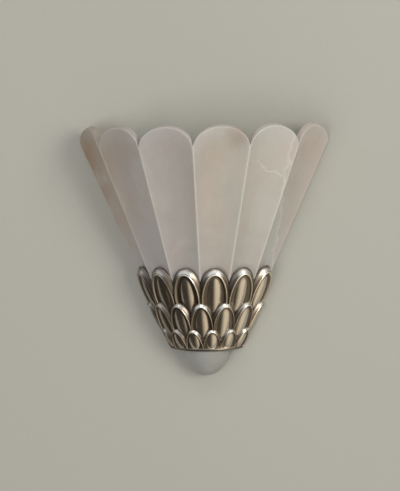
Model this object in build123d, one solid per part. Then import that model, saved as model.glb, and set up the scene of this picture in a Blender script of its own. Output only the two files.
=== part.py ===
from build123d import *
import math
import os

# Shell wall sconce: a fluted half shell of alabaster that stands in a cast collar of petals.
# Millimetres. X to the viewer's right, the wall is the plane Y = 0 and the sconce stands in
# front of it towards -Y, Z is up. The origin is on the wall, midway between the two wall screws.

# ---------------------------------------------------------------- driving dimensions
APEX_DROP = 236.0          # the flutes' edges would meet this far below the origin, on the wall
PLAN_SLOPE = 0.469         # plan radius gained per millimetre of height above that apex
FLUTE_ANGLE = 24.5         # plan angle of one flute
FLUTES = 6
FLUTE_HOLLOW = 0.019       # depth of a flute below its chord, per millimetre of height
SHELL_WALL = 10.0
SHELL_FOOT = 98.0          # this and the next heights are above the apex
VALLEY = 327.5             # where neighbouring lobes meet
LOBE_TOP = 349.0           # top of a lobe at the plane of its flute's edges
WALL_GAP = 1.5             # the stone's back edges stand off the wall on pads
PAD_RADIUS = 3.0
PAD_HEIGHTS = (240.0, 320.0)

RIM_FOOT = 88.0
RIM_HEIGHT = 3.0
RIM_FACE = 3.8             # how far the rim stands outside the flutes' edges, in plan
FLOOR_TOP = 96.0
COLLAR_TOP = 158.0         # top of the plain wall behind the first row of petals
COLLAR_CLEAR = 1.0         # air between stone and collar
COLLAR_WALL = 2.0
# each row of petals: height of its foot, of its widest place and of its tip, how far its face
# stands outside the flutes' edges at foot and shoulder, and whether it sits on the flutes
PETAL_ROWS = (
    dict(foot=122.0, shoulder=160.0, tip=187.5, foot_face=3.6, face=6.4, on_flutes=True),
    dict(foot=101.0, shoulder=123.5, tip=145.5, foot_face=3.4, face=5.8, on_flutes=False),
    dict(foot=90.0, shoulder=96.5, tip=113.5, foot_face=3.8, face=5.2, on_flutes=True),
)
PETAL_OVERLAP = 1.04       # a petal's width over the distance between neighbours
BORDER_DEPTH = 2.4         # the sloping border falls this far behind the crest
# shares of a petal's half width and of its rise from shoulder to tip
CREST_HALF = 0.80
CREST_CENTRE = -0.35
CREST_TIP = 0.72
ALMOND_HALF = 0.46
ALMOND_TIP = 0.57
ALMOND_FOOT = -1.05
CREST_WIDTH = 1.1
GROOVE_DEPTH = 1.6
ALMOND_HEIGHT = 3.0
BRIDGE_HALF_WIDTH = 20.0   # the cast wall behind the stone that takes the collar screws
BRIDGE_TOP = 122.0
BRIDGE_THICK = 4.0
COLLAR_SCREW_X = 10.0
COLLAR_SCREW_Z = -125.0
COLLAR_SCREW_RADIUS = 2.0

FINIAL_RADIUS = 29.0
FINIAL_DROP = 31.5
FINIAL_PAD = 1.0
FINIAL_GAP = 0.5           # between the finial's flat back and the wall
ROD_RADIUS = 3.0
ROD_FORWARD = 14.0         # the rod's distance in front of the wall
ROD_SUNK = 16.0            # the rod's length inside the finial
NUT_HEIGHT = 5.0
NUT_HALF = 5.0             # half of a nut's width across its flats
WASHER_RADIUS = 6.0
WASHER_THICK = 1.0

PLATE_THICK = 2.5
PLATE_HALF_WIDTH = 40.0
PLATE_TOP = 78.0
PLATE_FOOT = -80.0
PLATE_CORNER = 8.0
TONGUE_HALF_WIDTH = 17.0
TONGUE_FOOT = -134.0
WALL_SCREW_SPACING = 120.0
WALL_SCREW_HOLE = 2.75
CABLE_HOLE = 10.0
GROMMET_BORE = 5.0
GROMMET_FLANGE = 12.5
GROMMET_PROUD = 1.5

BAR_LEVEL = 30.0           # underside of the hanger bar
BAR_HEIGHT = 12.0
BAR_THICK = 2.5
BAR_BACK = 4.0             # the bar's back face stands this far off the wall
BAR_INSET = 8.0            # from the stone's outer edge to the bar's end, at the bar's foot
BAR_SCREW_INSET = 1.9      # from the bar's end to its screw
BAR_SCREW_RADIUS = 1.25
BAR_SCREW_LENGTH = 6.0
HOOK_SPREAD = 26.0
HOOK_WIDTH = 12.0
HOOK_LIP = 11.0
HOOK_THICK = 2.0
HOOK_PLAY = 1.0

LAMP_FORWARD = 37.0
SHELF_TOP = -20.0          # top of the shelf that carries the lampholder
SHELF_THICK = 2.0
SHELF_HALF_WIDTH = 16.0
SHELF_REACH = 47.0
SHELF_LEG = 28.0
SHELF_WIRE_HOLE = 7.0
RIVET_Z = -36.0
RIVET_X = 9.0
HOLDER_RADIUS = 9.5
HOLDER_HEIGHT = 20.0
HOLDER_EAR = 3.0
EAR_SCREW_X = 12.5
SMALL_SCREW = 1.5
PIN_SPREAD = 4.5
PIN_RADIUS = 0.6
PIN_LENGTH = 9.0
PIN_PLAY = 0.25
LAMP_BASE_RADIUS = 8.0
LAMP_BASE_HEIGHT = 14.0
GLOBE_RADIUS = 9.0
GLOBE_WALL = 0.9
GLOBE_TOP = 58.0
CORE_RADIUS = 4.5
CORE_TOP = 48.0

BLOCK_X = 27.0
BLOCK_HALF_WIDTH = 8.0
BLOCK_HALF_HEIGHT = 14.0
BLOCK_THICK = 12.0
POLE_PITCH = 9.0
WIRE_RADIUS = 1.0
WIRE_SIDES = 8             # the wires are faceted
WIRE_BORE = 1.5
EARTH_X = 27.0
EARTH_Z = -34.0

EDGE = FLUTES / 2          # the flutes' edges are numbered from -EDGE to EDGE
FAR = 400.0
HALF_FLUTE = math.radians(FLUTE_ANGLE / 2)
BEHIND = math.cos(math.radians(EDGE * FLUTE_ANGLE))


# ---------------------------------------------------------------- the fluted cone
def up(height):
    """Z of a height above the apex."""
    return height - APEX_DROP


def plan_point(index, radius, grow, height):
    """A point at plan angle number index of the circle that carries the flutes' edges."""
    angle = math.radians(index * FLUTE_ANGLE)
    centre = PLAN_SLOPE * height * BEHIND
    reach = radius + grow
    return Vector(reach * math.sin(angle), centre - reach * math.cos(angle), up(height))


def edge_point(index, height, grow=0.0):
    """A point on the edge between two flutes."""
    return plan_point(index, PLAN_SLOPE * height, grow, height)


def chord_point(index, height, grow=0.0):
    """The middle of the chord of the flute that has its centre at index."""
    return plan_point(index, PLAN_SLOPE * height * math.cos(HALF_FLUTE), grow, height)


def hollow_point(index, height, grow=0.0):
    """The deepest point of the flute that has its centre at index."""
    radius = (PLAN_SLOPE * height + grow) * math.cos(HALF_FLUTE) - FLUTE_HOLLOW * height
    return plan_point(index, radius, 0.0, height)


def leaning_plane(low, high, index):
    """The plane at high that holds the line from low and the plan direction of index."""
    angle = math.radians(index * FLUTE_ANGLE)
    along = Vector(math.cos(angle), math.sin(angle), 0)
    lean = high - low
    outward = along.cross(lean)
    return Plane(origin=high, x_dir=lean.cross(outward), z_dir=outward)


def flute_plane(index, height):
    """The plane through both edges of a flute, with its X level."""
    plane = leaning_plane(chord_point(index, height / 2), chord_point(index, height), index)
    angle = math.radians(index * FLUTE_ANGLE)
    along = Vector(math.cos(angle), math.sin(angle), 0)
    return Plane(origin=plane.origin, x_dir=along, z_dir=plane.z_dir)


def cone_block(low, high, grow):
    """The fluted outline with flat sides, filled from behind the wall outwards."""
    sections = []
    for height in (low, high):
        points = [edge_point(step - EDGE, height, grow) for step in range(FLUTES + 1)]
        back_right = Vector(points[-1].X, FAR / 10, up(height))
        back_left = Vector(points[0].X, FAR / 10, up(height))
        sections.append(make_face(Polyline(*points, back_right, back_left, close=True)))
    return loft(sections, ruled=True)


def in_front_of_wall(solid, gap=0.0):
    """Cut away what reaches behind the plane Y = -gap."""
    return solid - Pos(0, FAR / 2 - gap, 0) * Box(2 * FAR, FAR, 2 * FAR)


def block(x_range, y_range, z_range):
    """A box between two corners."""
    sizes = [high - low for low, high in (x_range, y_range, z_range)]
    centre = [(low + high) / 2 for low, high in (x_range, y_range, z_range)]
    return Pos(*centre) * Box(*sizes)


def bar_y(x, z, radius, front, back=0.0):
    """A round bar along Y."""
    return Pos(x, (front + back) / 2, z) * Rot(90, 0, 0) * Cylinder(radius, back - front)


def bar_z(x, y, radius, low, high):
    """A round bar along Z."""
    return Pos(x, y, (low + high) / 2) * Cylinder(radius, high - low)


def screw_y(x, z, radius, head, head_height, seat, tip):
    """A pan head screw along Y: its head stands in front of seat, its shank reaches tip."""
    pan = bar_y(x, z, head, seat - head_height, seat)
    pan = chamfer(pan.edges().filter_by(GeomType.CIRCLE).sort_by(Axis.Y)[0], head_height * 0.5)
    return pan + bar_y(x, z, radius, seat, tip)


def screw_z(x, y, radius, head, head_height, seat, tip):
    """A pan head screw along Z: its head stands on seat, its shank reaches down to tip."""
    pan = bar_z(x, y, head, seat, seat + head_height)
    pan = chamfer(pan.edges().filter_by(GeomType.CIRCLE).sort_by(Axis.Z)[-1], head_height * 0.5)
    return pan + bar_z(x, y, radius, tip, seat)


def hex_nut(x, y, half_flats, bore, low, height):
    """A hexagon nut with its axis along Z."""
    outline = RegularPolygon(half_flats, 6, major_radius=False) - Circle(bore)
    return Pos(x, y, low) * extrude(outline, height)


# ---------------------------------------------------------------- the stone
def shell_rib(index):
    """One flute of the shell with its rounded lobe."""
    sections = []
    for height in (SHELL_FOOT, LOBE_TOP + SHELL_WALL):
        left_out = edge_point(index - 0.5, height)
        right_out = edge_point(index + 0.5, height)
        left_in = edge_point(index - 0.5, height, -SHELL_WALL)
        right_in = edge_point(index + 0.5, height, -SHELL_WALL)
        outer = ThreePointArc(left_out, hollow_point(index, height), right_out)
        inner = ThreePointArc(right_in, hollow_point(index, height, -SHELL_WALL), left_in)
        ends = [Line(right_out, right_in), Line(left_in, left_out)]
        sections.append(make_face([outer, ends[0], inner, ends[1]]))
    rib = loft(sections, ruled=True)
    plane = flute_plane(index, VALLEY)
    half = PLAN_SLOPE * VALLEY * math.sin(HALF_FLUTE)
    lean = chord_point(index, LOBE_TOP) - chord_point(index, VALLEY)
    rise = abs(lean.dot(plane.y_dir))
    arch = EllipticalCenterArc((0, 0), half, rise, start_angle=0, arc_size=180)
    sides = Polyline((-half, 0), (-half - FAR, -FAR), (half + FAR, -FAR), (half, 0))
    return rib & extrude(plane * make_face([arch, sides]), 4 * SHELL_WALL, both=True)


def stone_side(height):
    """X of the stone's inner face where it meets the wall."""
    return edge_point(EDGE, height, -SHELL_WALL).X


def bar_half_length():
    return edge_point(EDGE, BAR_LEVEL + APEX_DROP).X - BAR_INSET


def bar_screw_places():
    """X of the two screws that hold the hanger bar in the stone."""
    middle = bar_half_length() - BAR_SCREW_INSET
    return (-middle, middle)


def alabaster_shell():
    shell = shell_rib(0.5 - EDGE)
    for step in range(1, FLUTES):
        shell += shell_rib(step + 0.5 - EDGE)
    shell = in_front_of_wall(shell, WALL_GAP)
    half = bar_half_length()
    shell -= block((-half, half), (-BAR_BACK - BAR_THICK, FAR / 10),
                   (BAR_LEVEL, BAR_LEVEL + BAR_HEIGHT))
    for x in bar_screw_places():
        tip = -BAR_BACK - BAR_THICK - BAR_SCREW_LENGTH
        shell -= bar_y(x, BAR_LEVEL + BAR_HEIGHT / 2, BAR_SCREW_RADIUS, tip)
    return shell


def hanger_bar():
    """The flat bar let into the stone's back edges, which rests on the hooks."""
    half = bar_half_length()
    bar = block((-half, half), (-BAR_BACK - BAR_THICK, -BAR_BACK),
                (BAR_LEVEL, BAR_LEVEL + BAR_HEIGHT))
    for x in bar_screw_places():
        bar -= bar_y(x, BAR_LEVEL + BAR_HEIGHT / 2, BAR_SCREW_RADIUS, -2 * BAR_BACK)
    return bar


def hanger_screws():
    """Two short screws, put in from the back, hold the bar to the stone."""
    screws = []
    for x in bar_screw_places():
        level = BAR_LEVEL + BAR_HEIGHT / 2
        cap = bar_y(x, level, BAR_SCREW_INSET, -BAR_BACK, -BAR_BACK + 1.0)
        tip = -BAR_BACK - BAR_THICK - BAR_SCREW_LENGTH
        shank = bar_y(x, level, BAR_SCREW_RADIUS, tip, -BAR_BACK)
        screws.append(cap + shank)
    return Compound(children=screws)


def wall_pads():
    """Soft pads between the stone's back edges and the wall."""
    pads = []
    for height in PAD_HEIGHTS:
        x = stone_side(height) + SHELL_WALL / 2
        for side in (-1, 1):
            pads.append(bar_y(side * x, up(height), PAD_RADIUS, -WALL_GAP))
    return Compound(children=pads)


# ---------------------------------------------------------------- the petal collar
def arch_outline(half, rise, foot_half, drop, level):
    """A petal's outline: half an ellipse over sides that draw in to the foot."""
    arch = EllipticalCenterArc((0, 0), half, rise, start_angle=0, arc_size=180)
    sides = Polyline((-half, 0), (-foot_half, -drop), (foot_half, -drop), (half, 0))
    return Pos(0, 0, level) * make_face([arch, sides])


def petal(row, index):
    """One cast petal: sloping border, thin crest, dished face and a raised almond."""
    middle = chord_point if row["on_flutes"] else edge_point
    low = middle(index, row["foot"], row["foot_face"])
    high = middle(index, row["shoulder"], row["face"])
    drop = (high - low).length
    rise = (row["tip"] - row["shoulder"]) * drop / (row["shoulder"] - row["foot"])
    pitch = (PLAN_SLOPE * row["shoulder"] + row["face"]) * math.sin(HALF_FLUTE)
    half = pitch * PETAL_OVERLAP
    taper = row["foot"] / row["shoulder"]
    centre = CREST_CENTRE * rise
    crest_half = CREST_HALF * half
    crest_rise = CREST_TIP * rise - centre
    below = max(drop + centre, 1.0)
    outer = arch_outline(half, rise, half * taper, drop, -BORDER_DEPTH)
    crest = Pos(0, centre) * arch_outline(crest_half, crest_rise, crest_half * taper, below, 0)
    body = extrude(outer, -8.0) + loft([outer, crest], ruled=True)
    dish = arch_outline(crest_half - CREST_WIDTH, crest_rise - CREST_WIDTH,
                        crest_half * taper - CREST_WIDTH, below - CREST_WIDTH / 2, 0)
    body -= Pos(0, centre) * extrude(dish, -GROOVE_DEPTH)
    almond_foot = max(ALMOND_FOOT * rise, -1.3 * drop)
    length = (ALMOND_TIP * rise - almond_foot) / 2
    almond = scale(Sphere(1.0), by=(ALMOND_HALF * half, length, ALMOND_HEIGHT))
    body += Pos(0, almond_foot + length, -GROOVE_DEPTH) * almond
    return leaning_plane(low, high, index).location * body


def petal_places(row):
    """The plan numbers of a row's petals, with half petals against the wall on the edges."""
    if row["on_flutes"]:
        return [step + 0.5 - EDGE for step in range(FLUTES)]
    return [step - EDGE for step in range(FLUTES + 1)]


def collar_rim():
    """The plain round band at the collar's foot."""
    left, front, right = [edge_point(index, RIM_FOOT, RIM_FACE) for index in (-EDGE, 0, EDGE)]
    back = Polyline(right, (right.X, FAR / 10, right.Z), (left.X, FAR / 10, left.Z), left)
    band = extrude(make_face([ThreePointArc(left, front, right), back]), RIM_HEIGHT, dir=(0, 0, 1))
    return fillet(band.edges().group_by(Axis.Z)[-1].filter_by(GeomType.CIRCLE), 1.2)


def petal_collar():
    """The casting: a closed foot with a rim, a plain wall and three rows of petals."""
    collar = cone_block(RIM_FOOT, COLLAR_TOP, COLLAR_CLEAR + COLLAR_WALL)
    collar += collar_rim()
    petals = [petal(row, index) for row in PETAL_ROWS for index in petal_places(row)]
    collar = collar.fuse(*petals)
    collar -= cone_block(FLOOR_TOP, PETAL_ROWS[0]["tip"] + SHELL_WALL, COLLAR_CLEAR)
    collar -= block((-FAR, FAR), (-FAR, FAR), (up(RIM_FOOT) - FAR, up(RIM_FOOT)))
    collar = in_front_of_wall(collar)
    back = -PLATE_THICK
    bridge = block((-BRIDGE_HALF_WIDTH, BRIDGE_HALF_WIDTH), (back - BRIDGE_THICK, back),
                   (up(FLOOR_TOP) - 1, up(BRIDGE_TOP)))
    collar += bridge
    collar -= block((-TONGUE_HALF_WIDTH - 0.5, TONGUE_HALF_WIDTH + 0.5), (back, FAR),
                    (TONGUE_FOOT - 0.5, FAR))
    collar -= bar_z(0, -ROD_FORWARD, ROD_RADIUS + 0.3, up(RIM_FOOT) - 1, up(FLOOR_TOP) + 1)
    for x in (-COLLAR_SCREW_X, COLLAR_SCREW_X):
        collar -= bar_y(x, COLLAR_SCREW_Z, COLLAR_SCREW_RADIUS + 0.2, -FAR / 10)
    return collar


def collar_screws():
    seat = -PLATE_THICK - BRIDGE_THICK
    places = (-COLLAR_SCREW_X, COLLAR_SCREW_X)
    return Compound(children=[
        screw_y(x, COLLAR_SCREW_Z, COLLAR_SCREW_RADIUS, 3.5, 1.0, seat, -0.2) for x in places])


def shell_rest_pad():
    """The soft liner on the collar's floor that the stone's foot stands on."""
    pad = cone_block(FLOOR_TOP, SHELL_FOOT, 0.0)
    pad -= cone_block(FLOOR_TOP - 1, SHELL_FOOT + 1, -SHELL_WALL)
    return in_front_of_wall(pad, WALL_GAP)


# ---------------------------------------------------------------- the finial
def finial_top():
    return up(RIM_FOOT) - FINIAL_PAD


def alabaster_finial():
    """A half dome of stone with its flat back to the wall."""
    top = finial_top()
    side = Bezier((-FINIAL_RADIUS, 0, top), (-FINIAL_RADIUS * 0.92, 0, top - FINIAL_DROP * 0.45),
                  (-FINIAL_RADIUS * 0.55, 0, top - FINIAL_DROP), (0, 0, top - FINIAL_DROP))
    rest = Polyline((0, 0, top - FINIAL_DROP), (0, 0, top), (-FINIAL_RADIUS, 0, top))
    dome = revolve(make_face([side, rest]), Axis.Z, 180)
    dome -= bar_z(0, -ROD_FORWARD, ROD_RADIUS + 0.05, top - ROD_SUNK, top + 1)
    return in_front_of_wall(dome, FINIAL_GAP)


def finial_pad():
    """A thin soft washer between the finial and the collar."""
    pad = bar_z(0, 0, FINIAL_RADIUS - 2, finial_top(), up(RIM_FOOT))
    pad -= bar_z(0, -ROD_FORWARD, ROD_RADIUS + 0.3, finial_top() - 1, up(RIM_FOOT) + 1)
    return in_front_of_wall(pad, FINIAL_GAP)


def finial_rod():
    high = up(FLOOR_TOP) + WASHER_THICK + NUT_HEIGHT + 2
    return bar_z(0, -ROD_FORWARD, ROD_RADIUS, finial_top() - ROD_SUNK, high)


def finial_washer():
    low = up(FLOOR_TOP)
    washer = bar_z(0, -ROD_FORWARD, WASHER_RADIUS, low, low + WASHER_THICK)
    return washer - bar_z(0, -ROD_FORWARD, ROD_RADIUS + 0.2, low - 1, low + 2)


def finial_nut():
    low = up(FLOOR_TOP) + WASHER_THICK
    return hex_nut(0, -ROD_FORWARD, NUT_HALF, ROD_RADIUS + 0.02, low, NUT_HEIGHT)


# ---------------------------------------------------------------- the wall plate
def wall_plate():
    """Pressed steel: a plate, a tongue down into the collar and two hooks bent from it."""
    height = PLATE_TOP - PLATE_FOOT
    outline = Pos(0, (PLATE_TOP + PLATE_FOOT) / 2) * Rectangle(2 * PLATE_HALF_WIDTH, height)
    tongue_height = PLATE_FOOT - TONGUE_FOOT + PLATE_CORNER
    tongue = Rectangle(2 * TONGUE_HALF_WIDTH, tongue_height)
    outline += Pos(0, TONGUE_FOOT + tongue_height / 2) * tongue
    outline = fillet(outline.vertices(), PLATE_CORNER)
    plate = extrude(Plane.XZ * outline, PLATE_THICK)
    for z in (-WALL_SCREW_SPACING / 2, WALL_SCREW_SPACING / 2):
        plate -= bar_y(0, z, WALL_SCREW_HOLE, -FAR / 10, FAR / 10)
    plate -= bar_y(0, 0, CABLE_HOLE, -FAR / 10, FAR / 10)
    for x in (-COLLAR_SCREW_X, COLLAR_SCREW_X):
        plate -= bar_y(x, COLLAR_SCREW_Z, COLLAR_SCREW_RADIUS + 0.02, -FAR / 10, FAR / 10)
    for x in (-RIVET_X, RIVET_X):
        plate -= bar_y(x, RIVET_Z, SMALL_SCREW + 0.02, -FAR / 10, FAR / 10)
    plate -= bar_y(EARTH_X, EARTH_Z, COLLAR_SCREW_RADIUS + 0.02, -FAR / 10, FAR / 10)
    plate -= bar_y(BLOCK_X, POLE_PITCH / 2, SMALL_SCREW + 0.02, -FAR / 10, FAR / 10)
    lip_back = -BAR_BACK - BAR_THICK - HOOK_PLAY
    profile = Polyline((-PLATE_THICK, BAR_LEVEL), (lip_back, BAR_LEVEL),
                       (lip_back, BAR_LEVEL + HOOK_LIP),
                       (lip_back - HOOK_THICK, BAR_LEVEL + HOOK_LIP),
                       (lip_back - HOOK_THICK, BAR_LEVEL - HOOK_THICK),
                       (-PLATE_THICK, BAR_LEVEL - HOOK_THICK), close=True)
    hook = extrude(Plane.YZ * make_face(profile), HOOK_WIDTH / 2, both=True)
    outer_bend = hook.edges().filter_by(Axis.X).group_by(Axis.Z)[0].sort_by(Axis.Y)[0]
    hook = fillet(outer_bend, HOOK_THICK * 0.9)
    for x in (-HOOK_SPREAD, HOOK_SPREAD):
        plate += Pos(x, 0, 0) * hook
    return plate


def cable_grommet():
    """The rubber bush that guards the supply cable in the plate's middle hole."""
    flange_back = -PLATE_THICK
    grommet = bar_y(0, 0, CABLE_HOLE - 0.05, flange_back)
    grommet += bar_y(0, 0, GROMMET_FLANGE, flange_back - GROMMET_PROUD, flange_back)
    return grommet - bar_y(0, 0, GROMMET_BORE, -FAR / 10, FAR / 10)


# ---------------------------------------------------------------- the lamp and its holder
def lamp_shelf():
    """A bent strip riveted to the plate, which carries the lampholder."""
    back = -PLATE_THICK
    foot = SHELF_TOP - SHELF_LEG
    profile = Polyline((back, SHELF_TOP), (-SHELF_REACH, SHELF_TOP),
                       (-SHELF_REACH, SHELF_TOP - SHELF_THICK),
                       (back - SHELF_THICK, SHELF_TOP - SHELF_THICK),
                       (back - SHELF_THICK, foot), (back, foot), close=True)
    shelf = extrude(Plane.YZ * make_face(profile), SHELF_HALF_WIDTH, both=True)
    shelf = fillet(shelf.edges().filter_by(Axis.Z).group_by(Axis.Y)[0], 5.0)
    bend = shelf.edges().filter_by(Axis.X).group_by(Axis.Z)[-1].sort_by(Axis.Y)[-1]
    shelf = fillet(bend, SHELF_THICK)
    shelf -= bar_z(0, -LAMP_FORWARD, SHELF_WIRE_HOLE, SHELF_TOP - 5, SHELF_TOP + 1)
    for x in (-EAR_SCREW_X, EAR_SCREW_X):
        shelf -= bar_z(x, -LAMP_FORWARD, SMALL_SCREW + 0.1, SHELF_TOP - 5, SHELF_TOP + 1)
    for x in (-RIVET_X, RIVET_X):
        shelf -= bar_y(x, RIVET_Z, SMALL_SCREW + 0.02, -FAR / 10, FAR / 10)
    return shelf


def shelf_rivets():
    seat = -PLATE_THICK - SHELF_THICK
    rivets = [screw_y(x, RIVET_Z, SMALL_SCREW, 3.0, 1.2, seat, -0.2) for x in (-RIVET_X, RIVET_X)]
    return Compound(children=rivets)


def lampholder():
    """The ceramic body with two ears, contact slots above and wire holes below."""
    top = SHELF_TOP + HOLDER_HEIGHT
    body = bar_z(0, -LAMP_FORWARD, HOLDER_RADIUS, SHELF_TOP, top)
    body = chamfer(body.edges().filter_by(GeomType.CIRCLE).sort_by(Axis.Z)[-1], 1.5)
    ears = SlotOverall(2 * EAR_SCREW_X + 7, 7)
    body += Pos(0, -LAMP_FORWARD, SHELF_TOP) * extrude(ears, HOLDER_EAR)
    for side in (-1, 1):
        ear = side * EAR_SCREW_X
        pin = side * PIN_SPREAD
        body -= bar_z(ear, -LAMP_FORWARD, SMALL_SCREW + 0.1, SHELF_TOP - 1, SHELF_TOP + 5)
        body -= bar_z(pin, -LAMP_FORWARD, PIN_RADIUS + PIN_PLAY, top - PIN_LENGTH - 1, top + 1)
    return body


def holder_screws():
    places = (-EAR_SCREW_X, EAR_SCREW_X)
    return Compound(children=[
        screw_z(x, -LAMP_FORWARD, SMALL_SCREW, 2.8, 1.6, SHELF_TOP + HOLDER_EAR,
                SHELF_TOP - SHELF_THICK - 4) for x in places])


def holder_nuts():
    low = SHELF_TOP - SHELF_THICK - 2.4
    places = (-EAR_SCREW_X, EAR_SCREW_X)
    return Compound(children=[
        hex_nut(x, -LAMP_FORWARD, 2.75, SMALL_SCREW + 0.02, low, 2.4) for x in places])


def holder_top():
    return SHELF_TOP + HOLDER_HEIGHT


def lamp_base():
    low = holder_top()
    base = bar_z(0, -LAMP_FORWARD, LAMP_BASE_RADIUS, low, low + LAMP_BASE_HEIGHT)
    return chamfer(base.edges().filter_by(GeomType.CIRCLE).sort_by(Axis.Z)[0], 1.2)


def capsule_face(radius, low, top):
    """Half the outline of a capsule with a round top, in the plane Y = 0."""
    side = Line((radius, 0, low), (radius, 0, top - radius))
    turn = radius * math.sqrt(0.5)
    cap = ThreePointArc((radius, 0, top - radius), (turn, 0, top - radius + turn), (0, 0, top))
    rest = Polyline((0, 0, top), (0, 0, low), (radius, 0, low))
    return make_face([side, cap, rest])


def lamp_globe():
    low = holder_top() + LAMP_BASE_HEIGHT
    outer = revolve(capsule_face(GLOBE_RADIUS, low, GLOBE_TOP), Axis.Z)
    inner = capsule_face(GLOBE_RADIUS - GLOBE_WALL, low - 1, GLOBE_TOP - GLOBE_WALL)
    return Pos(0, -LAMP_FORWARD, 0) * (outer - revolve(inner, Axis.Z))


def lamp_core():
    """The light source inside the globe."""
    low = holder_top() + LAMP_BASE_HEIGHT
    return bar_z(0, -LAMP_FORWARD, CORE_RADIUS, low, CORE_TOP)


def lamp_pins():
    top = holder_top()
    pins = [bar_z(x, -LAMP_FORWARD, PIN_RADIUS, top - PIN_LENGTH, top)
            for x in (-PIN_SPREAD, PIN_SPREAD)]
    return Compound(children=pins)


# ---------------------------------------------------------------- the wiring
def pole_heights():
    """Z of the live, neutral and earth poles."""
    return (POLE_PITCH, 0.0, -POLE_PITCH)


def terminal_block():
    front = -PLATE_THICK - BLOCK_THICK
    body = block((BLOCK_X - BLOCK_HALF_WIDTH, BLOCK_X + BLOCK_HALF_WIDTH), (front, -PLATE_THICK),
                 (-BLOCK_HALF_HEIGHT, BLOCK_HALF_HEIGHT))
    body = fillet(body.edges().filter_by(Axis.X).group_by(Axis.Y)[0], 1.5)
    middle = front + BLOCK_THICK / 2
    for z in pole_heights():
        body -= Pos(BLOCK_X, middle, z) * Rot(0, 90, 0) * Cylinder(WIRE_BORE, FAR / 10)
        body -= bar_y(BLOCK_X + 4, z, 2.2, front - 1, front + 3)
    body -= bar_y(BLOCK_X, POLE_PITCH / 2, SMALL_SCREW + 0.1, front - 1)
    return body


def terminal_screws():
    front = -PLATE_THICK - BLOCK_THICK
    screws = [bar_y(BLOCK_X + 4, z, 2.0, front + 0.6, front + 3) for z in pole_heights()]
    return Compound(children=screws)


def block_screw():
    front = -PLATE_THICK - BLOCK_THICK
    return screw_y(BLOCK_X, POLE_PITCH / 2, SMALL_SCREW, 1.9, 1.2, front, -0.2)


def earth_tag():
    """The ring and crimped barrel on the end of the earth wire."""
    back = -PLATE_THICK
    tag = bar_y(EARTH_X, EARTH_Z, 4.0, back - 0.8, back)
    tag += block((EARTH_X + 3, EARTH_X + 6), (back - 0.8, back), (EARTH_Z - 1.6, EARTH_Z + 1.6))
    barrel = Pos(EARTH_X + 7.5, back - 1.6, EARTH_Z) * Rot(0, 90, 0) * Cylinder(1.6, 4)
    tag += barrel
    return tag - bar_y(EARTH_X, EARTH_Z, COLLAR_SCREW_RADIUS + 0.1, -FAR / 10)


def earth_screw():
    return screw_y(EARTH_X, EARTH_Z, COLLAR_SCREW_RADIUS, 3.4, 1.8, -PLATE_THICK - 0.8, -0.2)


def routed_wire(name, points):
    """A wire along straight runs joined by arcs, each as large as its runs allow."""
    places = [Vector(*point) for point in points]
    radii = []
    for before, here, after in zip(places, places[1:], places[2:]):
        run_in = here - before
        run_out = after - here
        turn = math.radians(run_in.get_angle(run_out))
        shorter = min(run_in.length, run_out.length)
        radii.append(0.45 * shorter / math.tan(turn / 2))
    path = FilletPolyline(*places, radius=radii)
    start = Plane(origin=places[0], z_dir=places[1] - places[0])
    section = RegularPolygon(WIRE_RADIUS, WIRE_SIDES)
    tube = sweep(start * section, path)
    print(name, "length", round(path.length, 1), "radii", [round(r, 1) for r in radii],
          "volume over section times length", round(tube.volume / (section.area * path.length), 4))
    return tube


def wire_start():
    """Where a wire starts, inside the right-hand mouth of its pole."""
    return BLOCK_X + 6.2, -PLATE_THICK - BLOCK_THICK / 2


def wire_live():
    x, y = wire_start()
    end = (PIN_SPREAD, -LAMP_FORWARD)
    return routed_wire("wire_live", [
        (x, y, POLE_PITCH), (x + 15, y, POLE_PITCH), (52, -16, -8), (38, -26, -38),
        (18, -33, -50), (*end, -36), (*end, SHELF_TOP)])


def wire_neutral():
    x, y = wire_start()
    end = (-PIN_SPREAD, -LAMP_FORWARD)
    return routed_wire("wire_neutral", [
        (x, y, 0), (x + 12, y, 0), (47, -14, -16), (30, -22, -34),
        (8, -29, -44), (*end, -36), (*end, SHELF_TOP)])


def wire_earth():
    x, y = wire_start()
    level = -PLATE_THICK - 1.6
    return routed_wire("wire_earth", [
        (x, y, -POLE_PITCH), (x + 12, y, -POLE_PITCH), (50, -6.5, -20), (50, level, EARTH_Z),
        (EARTH_X + 9.5, level, EARTH_Z)])


# ---------------------------------------------------------------- one file for each node
MAKERS = (
    alabaster_shell, hanger_bar, hanger_screws, wall_pads,
    petal_collar, collar_screws, shell_rest_pad,
    alabaster_finial, finial_pad, finial_rod, finial_washer, finial_nut,
    wall_plate, cable_grommet,
    lamp_shelf, shelf_rivets, lampholder, holder_screws, holder_nuts,
    lamp_base, lamp_globe, lamp_core, lamp_pins,
    terminal_block, terminal_screws, block_screw, earth_tag, earth_screw,
    wire_live, wire_neutral, wire_earth,
)

os.makedirs("parts", exist_ok=True)
for maker in MAKERS:
    export_step(maker(), f"parts/{maker.__name__}.step")
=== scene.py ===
# %% [markdown]
# # A shell wall sconce
# The light is a half shell of alabaster. Six hollow flutes rise from a point below it and end in
# round lobes. The stone stands in a cast collar of overlapping petals, and a small half dome of
# the same stone hangs under the collar. The working parts come from a measured CAD model, which
# is loaded here as a fixed frame. This script adds what a camera sees: the carved stone, the
# casting, and a finish for every surface.

# %% Load the frame
import math
from collections import Counter

import bmesh
import bpy
from mathutils import Matrix, Vector


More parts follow.
